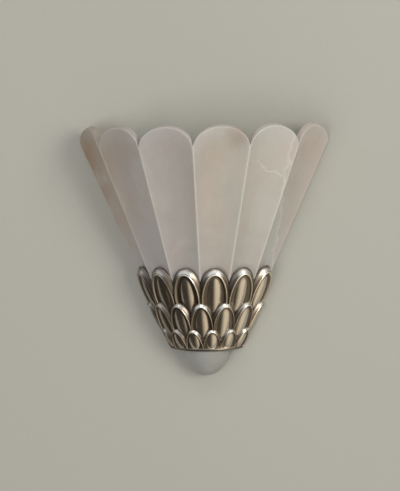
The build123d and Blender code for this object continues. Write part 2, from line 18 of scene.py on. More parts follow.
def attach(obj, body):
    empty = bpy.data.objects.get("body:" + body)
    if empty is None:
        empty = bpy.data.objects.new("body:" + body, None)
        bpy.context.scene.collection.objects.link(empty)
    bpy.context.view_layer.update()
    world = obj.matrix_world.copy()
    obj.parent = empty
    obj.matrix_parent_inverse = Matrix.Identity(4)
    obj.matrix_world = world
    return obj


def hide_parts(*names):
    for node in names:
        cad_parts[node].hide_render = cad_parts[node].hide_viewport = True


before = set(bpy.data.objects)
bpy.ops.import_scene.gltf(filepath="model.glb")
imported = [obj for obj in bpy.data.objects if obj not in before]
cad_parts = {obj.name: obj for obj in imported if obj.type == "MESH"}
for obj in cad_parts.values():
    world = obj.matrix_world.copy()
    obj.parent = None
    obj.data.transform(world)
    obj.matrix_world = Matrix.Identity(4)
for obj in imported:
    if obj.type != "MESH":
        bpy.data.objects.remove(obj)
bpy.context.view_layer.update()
MM = 0.001

# %% [markdown]
# ## The camera
# The photograph is taken from a little to the right and a little above the middle of the light.
# The camera stands on a line that leaves the target at an azimuth and an elevation. A small roll
# is added because the photograph hangs slightly askew. The lens is a long one, as the sides of
# the shell hardly converge.

# %% Make the camera
VIEW_AZIMUTH = math.radians(6.40)
VIEW_ELEVATION = math.radians(3.59)
VIEW_ROLL = math.radians(0.90)
VIEW_DISTANCE = 2.0
VIEW_TARGET = Vector((-0.0003, -0.050, -0.0224))
VIEW_LENS = 126.3

scene = bpy.context.scene
back = Vector((math.sin(VIEW_AZIMUTH) * math.cos(VIEW_ELEVATION),
               -math.cos(VIEW_AZIMUTH) * math.cos(VIEW_ELEVATION), math.sin(VIEW_ELEVATION)))
right = Vector((math.cos(VIEW_AZIMUTH), math.sin(VIEW_AZIMUTH), 0))
above = back.cross(right)
camera_x = right * math.cos(VIEW_ROLL) - above * math.sin(VIEW_ROLL)
camera_y = right * math.sin(VIEW_ROLL) + above * math.cos(VIEW_ROLL)
camera = bpy.data.objects.new("camera", bpy.data.cameras.new("camera"))
scene.collection.objects.link(camera)
camera.data.lens = VIEW_LENS
turn = Matrix((camera_x, camera_y, back)).transposed()
camera.matrix_world = Matrix.Translation(VIEW_TARGET + back * VIEW_DISTANCE) @ turn.to_4x4()
scene.camera = camera
scene.view_settings.view_transform = "Standard"
print("camera at", [round(v, 3) for v in camera.location])


# %% [markdown]
# ## Working in edit mode
# An operator works on everything that is selected. These small helpers make the selection plain:
# one enters edit mode on a single object with nothing selected, and one selects points, edges or
# faces by a test on their middle.

# %% Helpers for selecting
def deselect_all():
    if bpy.context.object and bpy.context.object.mode != "OBJECT":
        bpy.ops.object.mode_set(mode="OBJECT")
    bpy.ops.object.select_all(action="DESELECT")


def edit(piece, kind="VERT"):
    """Enter edit mode on one piece with nothing selected."""
    deselect_all()
    piece.select_set(True)
    bpy.context.view_layer.objects.active = piece
    bpy.ops.object.mode_set(mode="EDIT")
    bpy.ops.mesh.select_mode(type=kind)
    bpy.ops.mesh.select_all(action="DESELECT")


def leave():
    """Back to object mode."""
    bpy.ops.object.mode_set(mode="OBJECT")


def pick(test):
    """In edit mode, select the points that pass the test, and no others."""
    piece = bpy.context.object
    grid = bmesh.from_edit_mesh(piece.data)
    for point in grid.verts:
        point.select_set(bool(test(point.co)))
    grid.select_flush_mode()
    bmesh.update_edit_mesh(piece.data)


def named(piece, name):
    """Name a finished piece and its mesh."""
    piece.name = name
    piece.data.name = name
    return piece


CUT_THRESHOLD = 0.001 * MM
MERGE_THRESHOLD = 0.005 * MM


def cut_at_wall(piece, gap):
    """Slice off what reaches behind the plane Y = -gap, and close the cut."""
    edit(piece)
    bpy.ops.mesh.select_all(action="SELECT")
    bpy.ops.mesh.bisect(plane_co=(0, -gap, 0), plane_no=(0, 1, 0), clear_outer=True,
                        threshold=CUT_THRESHOLD)
    bpy.ops.mesh.select_all(action="SELECT")
    bpy.ops.mesh.remove_doubles(threshold=MERGE_THRESHOLD)
    bpy.ops.mesh.select_all(action="SELECT")
    bpy.ops.mesh.fill_holes(sides=0)
    bpy.ops.mesh.select_all(action="SELECT")
    bpy.ops.mesh.normals_make_consistent(inside=False)
    leave()


def join(pieces, name):
    """Join pieces into one mesh."""
    deselect_all()
    for piece in pieces:
        piece.select_set(True)
    bpy.context.view_layer.objects.active = pieces[0]
    bpy.ops.object.join()
    return named(bpy.context.object, name)


def smooth(piece, degrees):
    """Shade smooth, with edges that turn by more than this many degrees kept sharp."""
    deselect_all()
    piece.select_set(True)
    bpy.context.view_layer.objects.active = piece
    bpy.ops.object.shade_smooth_by_angle(angle=math.radians(degrees))


def apply_modifier(piece, kind, **settings):
    """Add a modifier, set it and apply it."""
    deselect_all()
    piece.select_set(True)
    bpy.context.view_layer.objects.active = piece
    modifier = piece.modifiers.new(kind.lower(), kind)
    for name, value in settings.items():
        setattr(modifier, name, value)
    bpy.ops.object.modifier_apply(modifier=modifier.name)


def count(piece):
    """Say what a piece measures, and how many of its edges are open."""
    used = Counter(key for face in piece.data.polygons for key in face.edge_keys)
    gaps = sum(many != 2 for many in used.values())
    lowest, highest = [[f(v.co[k] for v in piece.data.vertices) / MM for k in range(3)]
                       for f in (min, max)]
    triangles = sum(len(face.vertices) - 2 for face in piece.data.polygons)
    print(piece.name, triangles, "triangles,", gaps, "open edges, mm",
          [round(v, 1) for v in lowest], [round(v, 1) for v in highest])


# %% [markdown]
# ## The fluted cone
# Every flute belongs to one leaning cone. Its edges start from an apex on the wall and spread on
# a circle that grows with height, so one rule gives the stone, the collar and its petals. The
# circle's middle moves back as it grows, so that the outermost edges always lie on the wall.

# %% The cone's rule
APEX_DROP = 236.0 * MM
PLAN_SLOPE = 0.469
FLUTE_ANGLE = math.radians(24.5)
FLUTES = 6
EDGE = FLUTES / 2
HALF_FLUTE = FLUTE_ANGLE / 2
BEHIND = math.cos(EDGE * FLUTE_ANGLE)
FLUTE_HOLLOW = 0.019
APEX = Vector((0, 0, -APEX_DROP))


def plan_point(index, radius, height):
    """A point at plan angle number index, at a radius from the circle's middle."""
    angle = index * FLUTE_ANGLE
    centre = PLAN_SLOPE * height * BEHIND
    return Vector((radius * math.sin(angle), centre - radius * math.cos(angle),
                   height - APEX_DROP))


def edge_point(index, height, grow=0.0):
    return plan_point(index, PLAN_SLOPE * height + grow, height)


def chord_point(index, height, grow=0.0):
    return plan_point(index, PLAN_SLOPE * height * math.cos(HALF_FLUTE) + grow, height)


def lean_of(index):
    """How far the plane of a flute leans out for each unit of height."""
    return PLAN_SLOPE * (math.cos(HALF_FLUTE) - BEHIND * math.cos(index * FLUTE_ANGLE))


# %% [markdown]
# ## The stone shell
# The shell is carved from one block: hollow flutes with a fine sharp edge between them, and a
# wall about 10 mm thick whose top is cut square to each flute and softened by hand. A grid is
# the right start, because its columns can follow the straight lines that run to the apex and its
# rows can follow the section of the wall: up the outside, over the top and down the inside. Each
# row is a height and a depth into the stone. Near the fine edges the columns stop short, which
# leaves the narrow worn flat that catches the light.

# %% The wall's section
SHELL_WALL = 10.0 * MM
SHELL_FOOT = 98.0 * MM
VALLEY = 327.5 * MM
LOBE_TOP = 349.0 * MM
WALL_GAP = 1.5 * MM
LIP = 1.6 * MM
WORN_EDGE = 0.008
COLUMNS = 22
OUTER_ROWS = 26
INNER_ROWS = 10
LIP_STEPS = 4


def lobe_rise(across):
    """Height of a lobe above the valleys, where across runs from -1 to 1 over the flute."""
    reach = LOBE_TOP - VALLEY
    a = (across / VALLEY) ** 2 + 1 / reach ** 2
    b = 2 * across ** 2 / VALLEY
    c = across ** 2 - 1
    return (math.sqrt(max(b * b - 4 * a * c, 0)) - b) / (2 * a)


def wall_section():
    """Pairs of share of the way up and depth, with how far the lip falls short of the top."""
    rows = [(step / OUTER_ROWS, 0.0, LIP) for step in range(OUTER_ROWS + 1)]
    for step in range(1, LIP_STEPS + 1):
        turned = math.pi / 2 * step / LIP_STEPS
        rows.append((1.0, LIP * (1 - math.cos(turned)), LIP * (1 - math.sin(turned))))
    for step in range(LIP_STEPS):
        turned = math.pi / 2 * step / LIP_STEPS
        rows.append((1.0, SHELL_WALL - LIP * (1 - math.sin(turned)), LIP * (1 - math.cos(turned))))
    rows += [(step / INNER_ROWS, SHELL_WALL, LIP) for step in range(INNER_ROWS, -1, -1)]
    return rows


def stone_point(flute, across, share, depth, short):
    """A point of the stone: flute number, place across it, share of the height, and depth."""
    index = flute + 0.5 - EDGE
    lean = math.atan(lean_of(index))
    hollow = FLUTE_HOLLOW * (1 - across ** 2)
    top = VALLEY + lobe_rise(across)
    behind = hollow * top + depth
    top += behind * math.sin(lean) * math.cos(lean) - short * math.cos(lean)
    height = SHELL_FOOT + (top - SHELL_FOOT) * share
    chord = PLAN_SLOPE * height * math.cos(HALF_FLUTE)
    side = (PLAN_SLOPE * height - depth) * math.sin(HALF_FLUTE) * across
    radius = chord - hollow * height - depth * math.cos(HALF_FLUTE)
    middle = plan_point(index, radius, height)
    angle = index * FLUTE_ANGLE
    return middle + Vector((math.cos(angle), math.sin(angle), 0)) * side


# %% Shape the shell from a grid
OVERHANG = 1.12


def make_shell():
    rows = wall_section()
    across_flute = [(1 - WORN_EDGE) * math.sin(math.pi * (step / (COLUMNS - 1) - 0.5))
                    for step in range(COLUMNS)]
    columns = [(flute, across) for flute in range(FLUTES) for across in across_flute]
    columns = [(0, -OVERHANG)] + columns + [(FLUTES - 1, OVERHANG)]
    deselect_all()
    bpy.ops.mesh.primitive_grid_add(x_subdivisions=len(columns) - 1,
                                    y_subdivisions=len(rows) - 1, size=2)
    stone = bpy.context.object
    from_arris, from_top = [], []
    for point in stone.data.vertices:
        flute, across = columns[round((point.co.x + 1) / 2 * (len(columns) - 1))]
        share, depth, short = rows[round((point.co.y + 1) / 2 * (len(rows) - 1))]
        point.co = stone_point(flute, across, share, depth, short)
        height = point.co.z + APEX_DROP
        from_arris.append(PLAN_SLOPE * height * math.sin(HALF_FLUTE) * abs(1 - abs(across)))
        from_top.append((1 - share) * (VALLEY + lobe_rise(across) - SHELL_FOOT) + depth)
    for name, values in (("from_arris", from_arris), ("from_top", from_top)):
        stone.data.attributes.new(name, "FLOAT", "POINT").data.foreach_set("value", values)
    edit(stone)
    foot = SHELL_FOOT - APEX_DROP
    pick(lambda co: co.z < foot + 0.1 * MM)
    bpy.ops.mesh.bridge_edge_loops()
    leave()
    cut_at_wall(stone, WALL_GAP)
    edit(stone)
    bpy.ops.mesh.select_all(action="SELECT")
    bpy.ops.mesh.normals_make_consistent(inside=False)
    leave()
    smooth(stone, 40)
    return named(stone, "carved_shell")


shell = make_shell()
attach(shell, "shell")
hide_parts("alabaster_shell")
count(shell)

# %% [markdown]
# ## The petals
# The collar is one casting, but its petals repeat, so one petal is made for each of the three
# rows and then copied. A petal starts as a disc, and its face is extruded inwards again and
# again, as one would do by hand: up the sloping border, over the thin crest, down into the
# groove and up over the raised almond. After each extrusion the new ring is drawn to its shape,
# which is round above and runs down into two straight sides, or is an ellipse for the almond.
# How worn each point is, bright or dark, together with painted shade on the flanks of the border,
# is kept as an attribute for the finish to use.

# %% The rows and the rings of a petal
COLLAR_CLEAR = 1.0 * MM
COLLAR_WALL = 2.0 * MM
PETAL_ROWS = (
    dict(foot=122.0, shoulder=160.0, tip=187.5, foot_face=3.6, face=6.4, on_flutes=True,
         border=1.0, relief=1.0, almond_half=0.45, almond_tip=0.57),
    dict(foot=101.0, shoulder=123.5, tip=145.5, foot_face=3.4, face=5.8, on_flutes=False,
         border=0.62, relief=0.80, almond_half=0.53, almond_tip=0.70),
    dict(foot=90.0, shoulder=96.5, tip=113.5, foot_face=3.8, face=5.2, on_flutes=True,
         border=0.55, relief=0.66, almond_half=0.57, almond_tip=0.72),
)
PETAL_OVERLAP = 1.04
PETAL_POINTS = 40
PETAL_BACK = -8.0
ALMOND_FOOT = -1.05
# the rings from the outline inwards, as shares of the half width and of the rise: half width,
# tip and middle, then level in mm and wear, from -1 for a dark groove to 1 for a bright crest
SLOPE_WEAR = 0.3
# painted shade: the value that darkens the flanks of the sloping border
FLANK_SHADE = -0.9
TIP_START = 0.78
TIP_BLEND = 0.2
PLAIN_WEAR = -0.8
BACK_RISE = 0.93
INNER_RING = 0.8
INNER_FOOT = 0.5 * MM
SIDE_TURN = 1.1
BORDER_RINGS = (
    (1.00, 0.935, 0.00, -6.4, -1.0), (0.985, 0.925, 0.00, -5.9, -1.0),
    (0.965, 0.912, -0.03, -5.2, -0.9), (0.945, 0.893, -0.07, -4.4, -0.6),
    (0.870, 0.795, -0.25, -1.45, SLOPE_WEAR), (0.852, 0.773, -0.28, -0.95, SLOPE_WEAR),
    (0.842, 0.764, -0.30, -1.10, -1.0), (0.828, 0.746, -0.33, -0.35, 1.0),
    (0.798, 0.716, -0.35, 0.10, 1.0), (0.768, 0.690, -0.36, -0.20, 1.0),
    (0.750, 0.675, -0.36, -1.10, 0.8), (0.715, 0.655, -0.36, -1.95, -0.9),
    (0.640, 0.635, -0.35, -2.30, -1.0),
)
GROOVE = -2.3
ALMOND_HEIGHT = 3.5
ALMOND_RINGS = (1.08, 1.0, 0.93, 0.85, 0.76, 0.66, 0.54, 0.40, 0.24, 0.10)


def draw_ring(half, tip, middle, foot, taper, level):
    """Draw the selected ring: round above its middle, straight sides below it, or an ellipse."""
    grid = bmesh.from_edit_mesh(bpy.context.object.data)
    ring = [face for face in grid.faces if face.select][0].verts
    centre = sum(point.co.x for point in ring) / len(ring)
    start = max(ring, key=lambda point: (round(point.co.x - centre, 7), -abs(point.co.y)))
    order = list(ring)
    first = order.index(start)
    order = order[first:] + order[:first]
    if order[1].co.y < order[-1].co.y:
        order = order[:1] + order[:0:-1]
    for step, point in enumerate(order):
        angle = 2 * math.pi * step / len(order)
        x, y = math.cos(angle), math.sin(angle)
        if y >= 0 or taper is None:
            reach = (tip - middle) if y >= 0 else (middle - foot)
            point.co = (half * x, middle + reach * y, level)
        else:
            turned = math.asin(-y)
            down = min(turned / SIDE_TURN, 1)
            inwards = min((math.pi / 2 - turned) / (math.pi / 2 - SIDE_TURN), 1)
            side = half * (1 - (1 - taper) * down) * inwards
            point.co = (math.copysign(side, x), middle - (middle - foot) * down, level)
    bmesh.update_edit_mesh(bpy.context.object.data)


def petal_rings(row, half, rise, drop, taper):
    """The rings of a petal, from its back to the top of its almond, with levels in mm."""
    thin = row["border"]
    rings = [(half, rise * BACK_RISE, 0.0, -drop, taper, PETAL_BACK, PLAIN_WEAR)]
    for share, tip, middle, level, wear_and_shade in BORDER_RINGS:
        wide, high = 1 - (1 - share) * thin, 1 - (1 - tip) * thin
        foot = -drop + (0.0 if share > INNER_RING else INNER_FOOT)
        rings.append((half * wide, rise * high, rise * middle, foot, taper,
                      level * row["relief"], wear_and_shade))
    low, high = max(ALMOND_FOOT * rise, -1.3 * drop), row["almond_tip"] * rise
    middle, reach = (high + low) / 2, (high - low) / 2
    for share in ALMOND_RINGS:
        level = GROOVE + ALMOND_HEIGHT * max(1 - share ** 2, 0) ** 0.9
        rings.append((half * row["almond_half"] * share, middle + reach * share, middle,
                      middle - reach * share, None, level * row["relief"],
                      0.5 - 1.3 * min(share, 1) ** 4))
    return rings


def make_petal(row, half, rise, drop, taper):
    """A petal that lies on its back: X across, Y up the petal, Z outwards."""
    deselect_all()
    bpy.ops.mesh.primitive_circle_add(vertices=PETAL_POINTS, radius=half, fill_type="NGON")
    blank = bpy.context.object
    edit(blank, "FACE")
    bpy.ops.mesh.select_all(action="SELECT")
    rings = petal_rings(row, half, rise, drop, taper)
    for number, (wide, tip, middle, foot, narrow, level, wear_and_shade) in enumerate(rings):
        if number:
            bpy.ops.mesh.extrude_region_move()
        draw_ring(wide, tip, middle, foot, narrow, level * MM)
    bpy.ops.mesh.select_all(action="SELECT")
    bpy.ops.mesh.normals_make_consistent(inside=False)
    leave()
    wear_and_painted_light = []
    for number, point in enumerate(blank.data.vertices):
        _, tip, middle, _, _, level, wear_and_shade = rings[number // PETAL_POINTS]
        assert abs(point.co.z - level * MM) < 0.01 * MM
        # the sloping border is rubbed bright at the tip of the petal, and its flanks are darkened
        # with painted shade
        high = ((point.co.y - middle) / (tip - middle) - TIP_START) / TIP_BLEND
        slope = FLANK_SHADE + (SLOPE_WEAR - FLANK_SHADE) * min(max(high, 0), 1)
        wear_and_painted_light.append(slope if wear_and_shade == SLOPE_WEAR else wear_and_shade)
    blank.data.attributes.new("wear_and_shade", "FLOAT", "POINT").data.foreach_set("value", wear_and_painted_light)
    apply_modifier(blank, "SUBSURF", levels=1, render_levels=1)
    return blank


def leaning_place(low, high, index):
    """Where a petal stands: at high, with its Y along the line from low."""
    angle = index * FLUTE_ANGLE
    along = Vector((math.cos(angle), math.sin(angle), 0))
    lean = (high - low).normalized()
    outward = along.cross(lean).normalized()
    axes = Matrix((along, outward.cross(along), outward)).transposed()
    return Matrix.Translation(high) @ axes.to_4x4()


def make_row(row):
    """All the petals of one row, each its own copy."""
    middle = chord_point if row["on_flutes"] else edge_point
    foot, shoulder, tip = (row[k] * MM for k in ("foot", "shoulder", "tip"))
    half = PETAL_OVERLAP * (PLAN_SLOPE * shoulder + row["face"] * MM) * math.sin(HALF_FLUTE)
    reach = (middle(0, shoulder, row["face"] * MM) - middle(0, foot, row["foot_face"] * MM)).length
    rise = (tip - shoulder) * reach / (shoulder - foot)
    model = make_petal(row, half, rise, reach, foot / shoulder)
    places = [step - EDGE + (0.5 if row["on_flutes"] else 0)
              for step in range(FLUTES + (0 if row["on_flutes"] else 1))]
    copies = []
    for index in places:
        copy = bpy.data.objects.new("petal", model.data.copy())
        scene.collection.objects.link(copy)
        copy.data.transform(leaning_place(middle(index, foot, row["foot_face"] * MM),
                                          middle(index, shoulder, row["face"] * MM), index))
        if max(v.co.y for v in copy.data.vertices) > 0:
            cut_at_wall(copy, 0.0)
        copies.append(copy)
    bpy.data.objects.remove(model)
    return copies


petals = [copy for row in PETAL_ROWS for copy in make_row(row)]
print(len(petals), "petals")

# %% [markdown]
# ## The collar's cup and rim
# Behind the petals the casting is a plain cup: a flat-sided wall, a floor that carries the stone
# and a bridge across the back for two screws. A polygon is drawn at the foot, extruded up to the
# top of the wall, inset by the wall's thickness and pushed back down to the floor. The rim below
# the petals is a turned band, so it starts as a cylinder with its edges bevelled.

# %% Make the cup, the bridge and the rim
RIM_FOOT = 88.0 * MM
RIM_HEIGHT = 3.0 * MM
RIM_FACE = 3.8 * MM
FLOOR_TOP = 96.0 * MM
COLLAR_TOP = 158.0 * MM
BRIDGE = dict(half=20.0 * MM, top=122.0 * MM, thick=4.0 * MM)
PLATE_THICK = 2.5 * MM
BEYOND_WALL = 20.0 * MM


def outline_at(height, grow):
    """The collar's flat-sided outline at a height, closed behind the wall."""
    points = [edge_point(step - EDGE, height, grow) for step in range(FLUTES + 1)]
    ends = [Vector((points[k].x, BEYOND_WALL, points[k].z)) for k in (-1, 0)]
    return points + ends


def make_cup():
    levels = [(RIM_FOOT, COLLAR_CLEAR + COLLAR_WALL), (COLLAR_TOP, COLLAR_CLEAR + COLLAR_WALL),
              (COLLAR_TOP, COLLAR_CLEAR), (FLOOR_TOP, COLLAR_CLEAR)]
    deselect_all()
    bpy.ops.mesh.primitive_circle_add(vertices=FLUTES + 3, radius=1, fill_type="NGON")
    cup = bpy.context.object
    for point, place in zip(cup.data.vertices, outline_at(*levels[0])):
        point.co = place
    edit(cup, "FACE")
    bpy.ops.mesh.select_all(action="SELECT")
    for level in levels[1:]:
        bpy.ops.mesh.extrude_region_move()
        grid = bmesh.from_edit_mesh(cup.data)
        ring = [loop.vert for face in grid.faces if face.select for loop in face.loops]
        ring.sort(key=lambda v: math.atan2(v.co.x, -v.co.y + 0.01))
        places = sorted(outline_at(*level), key=lambda p: math.atan2(p.x, -p.y + 0.01))
        for point, place in zip(ring, places):
            point.co = place
        bmesh.update_edit_mesh(cup.data)
    bpy.ops.mesh.select_all(action="SELECT")
    bpy.ops.mesh.normals_make_consistent(inside=False)
    leave()
    cut_at_wall(cup, 0.0)
    apply_modifier(cup, "BEVEL", width=0.5 * MM, segments=2, limit_method="ANGLE",
                   angle_limit=math.radians(30))
    return cup


def make_rim():
    left, front = edge_point(-EDGE, RIM_FOOT, RIM_FACE), edge_point(0, RIM_FOOT, RIM_FACE)
    radius = (left.x ** 2 + (left.y - front.y) ** 2) / (2 * abs(left.y - front.y))
    centre = front.y + radius
    deselect_all()
    bpy.ops.mesh.primitive_cylinder_add(
        vertices=180, radius=radius, depth=RIM_HEIGHT,
        location=(0, centre, RIM_FOOT - APEX_DROP + RIM_HEIGHT / 2))
    rim = bpy.context.object
    bpy.ops.object.transform_apply(location=True, rotation=False, scale=False)
    apply_modifier(rim, "BEVEL", width=1.3 * MM, segments=4, limit_method="ANGLE",
                   angle_limit=math.radians(50))
    cut_at_wall(rim, 0.0)
    return rim


def make_bridge():
    low, high = FLOOR_TOP - APEX_DROP - 1 * MM, BRIDGE["top"] - APEX_DROP
    deselect_all()
    bpy.ops.mesh.primitive_cube_add(
        size=1, location=(0, -PLATE_THICK - BRIDGE["thick"] / 2, (low + high) / 2),
        scale=(2 * BRIDGE["half"], BRIDGE["thick"], high - low))
    bridge = bpy.context.object
    bpy.ops.object.transform_apply(location=True, rotation=False, scale=True)
    apply_modifier(bridge, "BEVEL", width=0.6 * MM, segments=2)
    return bridge


plain_parts = [make_cup(), make_rim(), make_bridge()]
for part in plain_parts:
    wear_and_shade = part.data.attributes.new("wear_and_shade", "FLOAT", "POINT")
    wear_and_shade.data.foreach_set("value", [PLAIN_WEAR] * len(part.data.vertices))
collar = join(petals + plain_parts, "cast_collar")
smooth(collar, 50)
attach(collar, "fixture")
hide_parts("petal_collar")
count(collar)

# %% [markdown]
# ## The finial
# The stone drop under the collar is turned, then cut in half for the wall. A Bezier curve with
# two points gives its side in one sweep. The curve is made a mesh, spun about the axis, and
# sliced at the back.

# %% Turn the finial
FINIAL_RADIUS = 29.0 * MM
FINIAL_DROP = 31.5 * MM
FINIAL_PAD = 1.0 * MM
FINIAL_GAP = 0.5 * MM
FINIAL_EDGE = 0.8 * MM


def make_finial():
    top = RIM_FOOT - APEX_DROP - FINIAL_PAD
    deselect_all()
    bpy.ops.curve.primitive_bezier_curve_add(location=(0, 0, 0))
    side = bpy.context.object
    side.data.resolution_u = 40
    start, end = side.data.splines[0].bezier_points
    for point in (start, end):
        point.handle_left_type = point.handle_right_type = "FREE"
    start.co = (-FINIAL_RADIUS, 0, top)
    start.handle_right = (-FINIAL_RADIUS * 0.92, 0, top - FINIAL_DROP * 0.45)
    start.handle_left = start.co
    end.co = (0, 0, top - FINIAL_DROP)
    end.handle_left = (-FINIAL_RADIUS * 0.55, 0, top - FINIAL_DROP)
    end.handle_right = end.co
    bpy.ops.object.convert(target="MESH")
    dome = bpy.context.object
    edit(dome)
    bpy.ops.mesh.select_all(action="SELECT")
    bpy.ops.mesh.spin(steps=120, angle=2 * math.pi, center=(0, 0, 0), axis=(0, 0, 1))
    bpy.ops.mesh.select_all(action="SELECT")
    bpy.ops.mesh.remove_doubles(threshold=0.01 * MM)
    pick(lambda co: co.z > top - 0.01 * MM)
    bpy.ops.mesh.edge_face_add()
    bpy.ops.mesh.select_all(action="SELECT")
    bpy.ops.mesh.normals_make_consistent(inside=False)
    leave()
    apply_modifier(dome, "BEVEL", width=FINIAL_EDGE, segments=3, limit_method="ANGLE",
                   angle_limit=math.radians(50))
    cut_at_wall(dome, FINIAL_GAP)
    smooth(dome, 50)
    return named(dome, "stone_finial")


finial = make_finial()
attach(finial, "fixture")
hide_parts("alabaster_finial")
count(finial)

# %% [markdown]
# ## The felt pads
# Thin felt keeps the stone off the wall and off the metal. Felt has no sharp edge: it is cut from
# a sheet and then pressed. The solids of the frame already have the right outline, so a copy of
# each is merged, its flat faces are made whole and its edges rounded. Each is a pad that is
# pressed nearly tight.

# %% Round the edges of the felt
def make_felt(node_name, body):
    felt_pad = bpy.data.objects.new("felt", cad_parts[node_name].data.copy())
    scene.collection.objects.link(felt_pad)
    felt_pad.data.materials.clear()
    deselect_all()
    edit(felt_pad)
    bpy.ops.mesh.select_all(action="SELECT")
    bpy.ops.mesh.remove_doubles(threshold=MERGE_THRESHOLD)
    bpy.ops.mesh.dissolve_limited(angle_limit=math.radians(2))
    leave()
    apply_modifier(felt_pad, "BEVEL", width=0.25 * MM, segments=3, limit_method="ANGLE",
                   angle_limit=math.radians(50))
    smooth(felt_pad, 60)
    named(felt_pad, "felt_" + node_name)
    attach(felt_pad, body)
    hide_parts(node_name)
    count(felt_pad)
    return felt_pad


felt_pads = [make_felt("wall_pads", "shell"), make_felt("shell_rest_pad", "fixture"),
             make_felt("finial_pad", "fixture")]

# %% [markdown]
# ## Recipes for finishes
# A finish is a small sum of patterns. A node socket is wrapped here so that such a sum can be
# written as arithmetic, and one method adds every other kind of node. Values that are the same
# all over are set on the shader itself.

# %% A socket that can be summed, and a finish
class Signal:
    """The output of a node, on which + - * / and ** add Math nodes."""

    def __init__(self, finish, socket):
        self.finish = finish
        self.socket = socket

    def sum_with(self, operation, first, second):
        return self.finish.node("ShaderNodeMath", {0: first, 1: second}, operation=operation)

    def __add__(self, other):
        return self.sum_with("ADD", self, other)

    def __sub__(self, other):
        return self.sum_with("SUBTRACT", self, other)

    def __rsub__(self, other):
        return self.sum_with("SUBTRACT", other, self)

    def __mul__(self, other):
        return self.sum_with("MULTIPLY", self, other)

    def __truediv__(self, other):
        return self.sum_with("DIVIDE", self, other)

    def __pow__(self, other):
        return self.sum_with("POWER", self, other)

    __radd__ = __add__
    __rmul__ = __mul__


class Recipe:
    """A tree of nodes, and the one method that adds to it."""

    def __init__(self, tree):
        self.tree = tree

    def feed(self, socket, value):
        if isinstance(value, Signal):
            self.tree.links.new(value.socket, socket)
        elif hasattr(value, "__len__") and len(value) == 3 and socket.type == "RGBA":
            socket.default_value = (*value, 1)
        else:
            socket.default_value = value

    def node(self, kind, inputs, output=0, stops=None, **settings):
        made = self.tree.nodes.new(kind)
        for name, value in settings.items():
            setattr(made, name, value)
        if stops:
            ramp = made.color_ramp
            while len(ramp.elements) < len(stops):
                ramp.elements.new(0.5)
            for element, (place, colour) in zip(ramp.elements, stops):
                element.position = place
                element.color = (*colour, 1)
        for name, value in inputs.items():
            self.feed(made.inputs[name], value)
        return Signal(self, made.outputs[output])

    def step(self, value, low, high):
        """0 below low, 1 above high and smooth between them."""
        return self.node("ShaderNodeMapRange",
                         {"Value": value, "From Min": low, "From Max": high},
                         interpolation_type="SMOOTHSTEP")

    def mix(self, share, first, second, blend="MIX"):
        return self.node("ShaderNodeMix", {0: share, 6: first, 7: second}, output=2,
                         data_type="RGBA", blend_type=blend)


class Finish(Recipe):
    """A material with a Principled shader and the nodes that feed it."""

    def __init__(self, name, **constants):
        self.material = bpy.data.materials.new(name)
        self.material.use_nodes = True
        super().__init__(self.material.node_tree)
        self.shader = self.tree.nodes["Principled BSDF"]
        for socket, value in constants.items():
            self.feed(self.shader.inputs[socket.replace("_", " ")], value)

    def place(self):
        return self.node("ShaderNodeTexCoord", {}, output="Object")

    def stretched(self, scale, turned=(0, 0, 0)):
        return self.node("ShaderNodeMapping", {"Vector": self.place(), "Scale": scale,
                                               "Rotation": turned})

    def noise(self, scale, detail=3.0, vector=None, rough=0.5, warp=0.0):
        return self.node("ShaderNodeTexNoise",
                         {"Vector": vector or self.place(), "Scale": scale, "Detail": detail,
                          "Roughness": rough, "Distortion": warp}, output="Fac")

    def bump(self, height, depth, strength=1.0):
        """Relief of this many metres."""
        relief = self.node("ShaderNodeBump", {"Height": height, "Distance": depth,
                                              "Strength": strength}, output="Normal")
        self.feed(self.shader.inputs["Normal"], relief)

    def shows(self, **inputs):
        for socket, value in inputs.items():
            self.feed(self.shader.inputs[socket.replace("_", " ")], value)
        return self.material


# %% [markdown]
# ## The alabaster
# Alabaster is a soft stone that lets some light in, so the shader scatters light a few
# millimetres below the surface. Its colour drifts from block to block: here it is browner at the
# left edge, grey with a violet cast beside it, warm in the middle and palest on the right.
# Clouds of noise bend these zones, thin veins follow the middle value of another noise, and the
# cut surface has the faint unevenness of hand rubbing.

